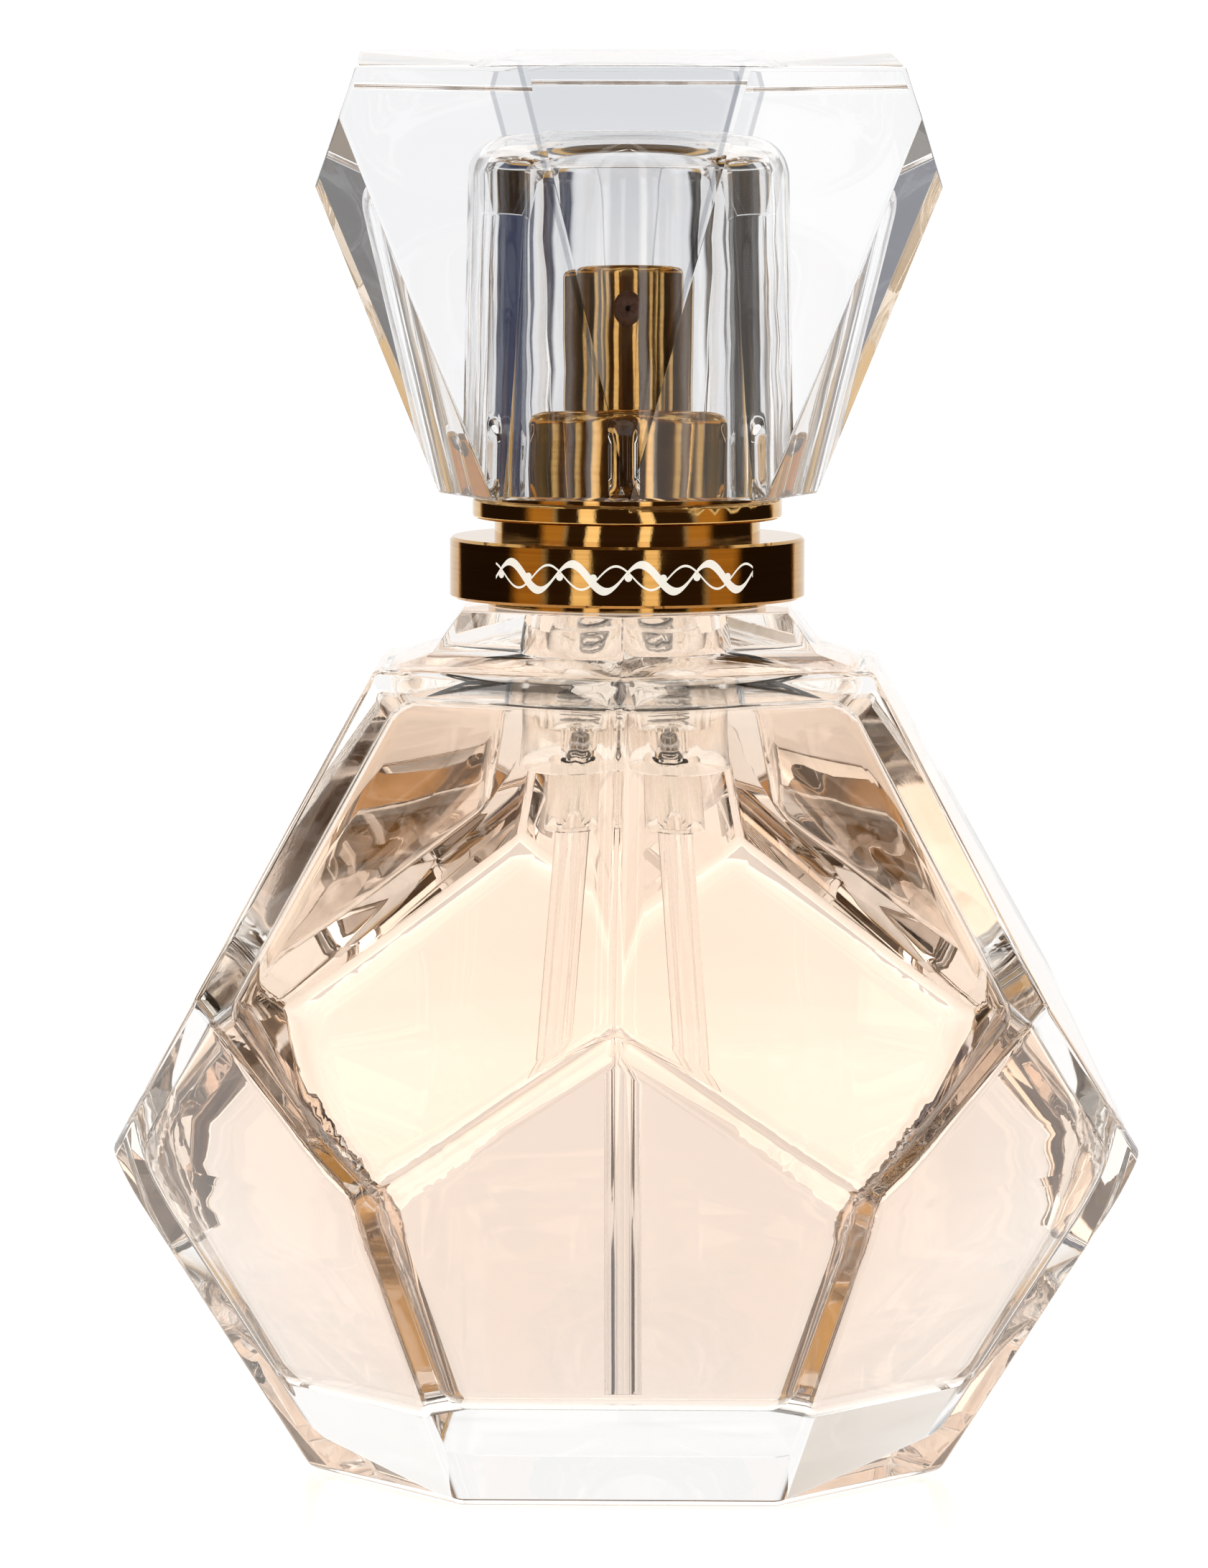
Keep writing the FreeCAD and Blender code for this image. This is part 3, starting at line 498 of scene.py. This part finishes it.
def make_perfume():
    """The liquid, each point moved out along its normal, so that it is sunk into the glass and
    no film of air is left between the two."""
    piece = loose_copy("perfume", "perfume_fill")
    piece.data.materials.clear()
    piece.data.materials.append(PERFUME)
    smooth_faces(piece.data)
    merge_points(piece)
    grow = piece.modifiers.new("grow", "DISPLACE")
    grow.strength = 2 * FUSE
    grow.mid_level = 0.0
    level_flats(piece)
    stand_in(piece, "bottle", "perfume_fill")


def make_squashed(name, node, body, finish):
    """A copy of a spring with its finish, riding on a body in the place of its CAD node, with a
    mesh of its own.
    """
    piece = loose_copy(name, node)
    finish_piece(piece, finish)
    stand_in(piece, body, node)
    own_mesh(piece)


make_perfume()
make_squashed("coil_spring", "return_spring", "bottle", STEEL)
make_squashed("valve_bellows", "valve_spring", "stem", NATURAL)


# --- the liner in the cap's bore -----------------------------------------------------------

LINER_WALL = 0.6 * MM
LINER_DRAFT = 0.7 * MM      # how much narrower the liner is at its roof than at its mouth
LINER_CORNER = 2.58 * MM
LINER_TURNS = 360
SIDE_STEPS = 40
ARC_STEPS = 14
ROOF_STEPS = 8
RIBS = 6
RIB_DEPTH = 0.55 * MM
RIB_EDGE = 0.88             # a rib covers the angles whose cosine is above this
RIB_LOW = 0.6 * MM
RIB_HIGH = 5.1 * MM
RIB_FADE = 0.5 * MM


def grid_piece(name, x, y, z, pole, finish):
    """A closed skin from a grid: rows run round the axis and close on themselves, and the last
    column joins the first. The pole column and the one after it lie on the axis: no face joins
    them, and each is merged into one point."""
    rows, columns = x.shape
    points = np.stack([x, y, z], axis=-1).reshape(-1, 3)
    i = np.arange(rows)[:, None]
    j = np.arange(columns)[None, :]
    i2, j2 = (i + 1) % rows, (j + 1) % columns
    quads = np.stack([i * columns + j, i2 * columns + j, i2 * columns + j2, i * columns + j2], -1)
    quads = np.delete(quads, pole, axis=1)
    mesh = bpy.data.meshes.new(name)
    mesh.from_pydata(points.tolist(), [], quads.reshape(-1, 4).tolist())
    skin = bmesh.new()
    skin.from_mesh(mesh)
    bmesh.ops.remove_doubles(skin, verts=skin.verts, dist=0.001 * FUSE)
    skin.to_mesh(mesh)
    skin.free()
    smooth_faces(mesh)
    mesh.materials.append(finish)
    piece = bpy.data.objects.new(name, mesh)
    bpy.context.scene.collection.objects.link(piece)
    hard_rims(piece)
    return piece


def liner_outline(mouth_r, foot_z, roof_z, inset):
    """Radius and height of one skin of the liner, from its mouth to the axis: up a cone that
    narrows by the draft, round the corner on a quarter arc, and straight in over the roof."""
    round_r = LINER_CORNER - inset
    top_r, top_z = mouth_r - LINER_DRAFT - inset, roof_z - inset
    knee_z = top_z - round_r
    knee_r = top_r + LINER_DRAFT / (roof_z - foot_z) * round_r
    up = np.linspace(0.0, 1.0, SIDE_STEPS)[:-1]
    side_r = mouth_r - inset + (knee_r - mouth_r + inset) * up
    side_z = foot_z + (knee_z - foot_z) * up
    arc = np.linspace(0.0, math.pi / 2, ARC_STEPS)
    arc_r = knee_r - round_r + round_r * np.cos(arc)
    arc_z = knee_z + round_r * np.sin(arc)
    roof_r = np.linspace(arc_r[-1], 0.0, ROOF_STEPS)[1:]
    return (np.concatenate([side_r, arc_r, roof_r]),
            np.concatenate([side_z, arc_z, np.full(roof_r.shape, top_z)]))


def make_cap_liner():
    """The clear liner fused into the cap's bore: a cup, mouth down. Its outline runs along the
    outer skin to the axis and back along the inner skin a wall thickness inside; it is then
    carried round the axis. Low on the inner skin six ribs stand in by the rib depth, each a
    smooth bump in both angle and height."""
    low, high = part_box("cap_sleeve")
    outer_r, outer_z = liner_outline(high.x, low.z, high.z, -FUSE)
    inner_r, inner_z = liner_outline(high.x, low.z, high.z, LINER_WALL)
    outline_r = np.concatenate([outer_r, inner_r[::-1]])
    outline_z = np.concatenate([outer_z, inner_z[::-1]])
    inside = np.concatenate([np.zeros(len(outer_r)), np.ones(len(inner_r))])
    angle = np.linspace(0, 2 * math.pi, LINER_TURNS, endpoint=False)[:, None]
    on_rib = np.clip((np.cos(RIBS * angle) - RIB_EDGE) / (1 - RIB_EDGE), 0, 1) ** 0.5
    above = np.clip((outline_z - low.z - RIB_LOW) / RIB_FADE, 0, 1)
    below = np.clip((low.z + RIB_HIGH - outline_z) / RIB_FADE, 0, 1)
    radius = outline_r[None, :] - RIB_DEPTH * inside * (above * below)[None, :] * on_rib
    z = np.broadcast_to(outline_z, radius.shape)
    liner = grid_piece("cap_liner", radius * np.sin(angle), -radius * np.cos(angle), z,
                       len(outer_r) - 1, LINER)
    stand_in(liner, "cap", "cap_sleeve")


make_cap_liner()


# --- studio --------------------------------------------------------------------------------

FLOOR_RADIUS = 0.22
FLOOR_BEHIND = 0.10         # how far the floor's middle is behind the bottle
FLOOR_CORNERS = 96
FADE_FROM = 0.5             # share of the radius where the glow starts to rise to white
FLOOR_GLOW = (0.82, 0.78, 0.73)
FLOOR_COLOUR = (0.30, 0.30, 0.30, 1.0)
FLOOR_GLOSS = (0.10, 0.16)
FLOOR_IOR = 1.45

# A patch of the studio is the start, the end and the softness of its edges: widths are radians
# from the front, and heights are the upward part of a direction of length 1.
RIGHT_BOX = (0.22, 0.38, 0.03)
LEFT_BOX = (-0.60, -0.40, 0.04)
FRONT_WIDTH = (-1.0, 0.95, 0.08)
FRONT_HEIGHT = (-2.0, 0.60, 0.12)
LOW_SIDE_WIDTH = (0.95, 2.45, 0.06)
LOW_SIDE_HEIGHT = (-0.30, 0.095, 0.02)
CARD_WIDTH = (1.35, 2.45, 0.10)
TALL_CARD_WIDTH = (1.15, 2.44, 0.05)
TALL_CARD_HEIGHT = (0.16, 0.42, 0.02)
HIGH_SIDE_WIDTH = (-1.0, 2.30, 0.10)
HIGH_SIDE_HEIGHT = (0.32, 2.0, 0.03)
CEILING_HEIGHT = (0.62, 2.0, 0.05)

LEFT_CARD_TONE = (0.04, 0.05, 0.09)
RIGHT_CARD_TONE = (0.015, 0.012, 0.012)
LOW_SIDE_TONE = (0.55, 0.31, 0.08)
CARD_TONE = (0.02, 0.012, 0.008)
HIGH_SIDE_TONE = (0.66, 0.37, 0.08)
CEILING_TONE = (0.10, 0.055, 0.02)
FRONT_TONE = (0.035, 0.02, 0.012)
BOX_LIGHT = (1.5, 1.4, 1.25)
PLAIN_LIGHT = (1.1, 1.1, 1.1)

LENS = 415.2
SENSOR = 36.0
CAMERA_PLACE = (20.36, -888.8, 118.0)       # mm
CAMERA_TURN = 1.406                         # degrees: to the left, down from level, and roll
CAMERA_DIP = 4.741
CAMERA_ROLL = 0.119


def make_floor():
    """A round glossy white table top, a flat disc that reaches further behind the bottle, lit a
    little from inside so that the clear pieces do not see a hard shadow through each other. The
    glow rises to plain white over the outer half, so that the rim does not show."""
    angle = np.linspace(0, 2 * math.pi, FLOOR_CORNERS, endpoint=False)
    ring = np.stack([FLOOR_RADIUS * np.cos(angle),
                     FLOOR_BEHIND + FLOOR_RADIUS * np.sin(angle), 0 * angle], axis=1)
    mesh = bpy.data.meshes.new("floor")
    mesh.from_pydata(ring.tolist(), [], [list(range(FLOOR_CORNERS))])
    floor = bpy.data.objects.new("floor", mesh)
    bpy.context.scene.collection.objects.link(floor)
    material, tree, shader = new_material("floor_gloss")
    wear_on(tree, shader, 8.0, 400.0, 0.1, FLOOR_GLOSS, 0.02, 0.2 * MM)
    shader.inputs["Base Color"].default_value = FLOOR_COLOUR
    shader.inputs["IOR"].default_value = FLOOR_IOR
    middle = place(tree, "ShaderNodeMapping", Vector=object_spot(tree),
                   Location=(0.0, -FLOOR_BEHIND, 0.0))
    apart = place(tree, "ShaderNodeVectorMath", {"operation": "LENGTH"})
    tree.links.new(middle.outputs[0], apart.inputs[0])
    fade = ramp(tree, apart.outputs["Value"], FADE_FROM * FLOOR_RADIUS, FLOOR_RADIUS)
    tree.links.new(between(tree, fade, FLOOR_GLOW, WHITE_LIGHT), shader.inputs["Emission Color"])
    shader.inputs["Emission Strength"].default_value = 1.0
    mesh.materials.append(material)


def make_world():
    """Plain white for the camera and for soft light. Clear and polished pieces see a studio: a
    dark front with two tall bright boxes, a white back, low brown sides with black cards, tall
    dark cards above them, golden high sides and a dark ceiling."""
    world = bpy.data.worlds.new("studio")
    bpy.context.scene.world = world
    world.use_nodes = True
    tree = world.node_tree
    tree.nodes.clear()
    out = tree.nodes.new("ShaderNodeOutputWorld")
    sky = tree.nodes.new("ShaderNodeBackground")
    tree.links.new(sky.outputs[0], out.inputs[0])
    x, y, z = axes_of(tree, tree.nodes.new("ShaderNodeTexCoord").outputs["Generated"])
    azimuth = angle_from_front(tree, x, y)
    aside = math_node(tree, "ABSOLUTE", azimuth)

    def patch(width, height):
        """1 inside a patch of both sides of the studio, and 0 outside."""
        return product(tree, band(tree, aside, *width), band(tree, z, *height))

    boxes = math_node(tree, "ADD", band(tree, azimuth, *RIGHT_BOX),
                      band(tree, azimuth, *LEFT_BOX))
    dark = math_node(tree, "SUBTRACT", patch(FRONT_WIDTH, FRONT_HEIGHT), boxes, clamp=True)
    low_side = patch(LOW_SIDE_WIDTH, LOW_SIDE_HEIGHT)
    cards = product(tree, low_side, band(tree, aside, *CARD_WIDTH))
    on_right = math_node(tree, "GREATER_THAN", azimuth, 0.0)
    tall_tone = between(tree, on_right, LEFT_CARD_TONE, RIGHT_CARD_TONE)

    room = WHITE_LIGHT
    for mask, tone in (
            (low_side, LOW_SIDE_TONE), (cards, CARD_TONE),
            (patch(HIGH_SIDE_WIDTH, HIGH_SIDE_HEIGHT), HIGH_SIDE_TONE),
            (patch(TALL_CARD_WIDTH, TALL_CARD_HEIGHT), tall_tone),
            (band(tree, z, *CEILING_HEIGHT), CEILING_TONE),
            (dark, FRONT_TONE), (boxes, BOX_LIGHT)):
        room = between(tree, mask, room, tone)

    path = tree.nodes.new("ShaderNodeLightPath")
    plain = math_node(tree, "MAXIMUM", path.outputs["Is Camera Ray"],
                      path.outputs["Is Diffuse Ray"])
    tree.links.new(between(tree, plain, room, PLAIN_LIGHT), sky.inputs["Color"])


def make_camera():
    """A long lens at the front, slightly to the right and looking a little down."""
    camera = bpy.data.cameras.new("camera")
    camera.sensor_fit = "HORIZONTAL"
    camera.sensor_width = SENSOR
    camera.lens = LENS
    camera.clip_end = 20.0
    holder = bpy.data.objects.new("camera", camera)
    turn = Matrix.Rotation(math.radians(CAMERA_TURN), 4, "Z")
    tip = Matrix.Rotation(math.radians(90 - CAMERA_DIP), 4, "X")
    roll = Matrix.Rotation(math.radians(CAMERA_ROLL), 4, "Z")
    holder.matrix_world = Matrix.Translation(Vector(CAMERA_PLACE) * MM) @ turn @ tip @ roll
    bpy.context.scene.collection.objects.link(holder)
    bpy.context.scene.camera = holder


make_floor()
make_world()
make_camera()
bpy.context.scene.view_settings.view_transform = "Standard"
light_paths = bpy.context.scene.cycles
light_paths.max_bounces = 24            # light turns many times inside the facets
light_paths.transmission_bounces = 24
light_paths.glossy_bounces = 14
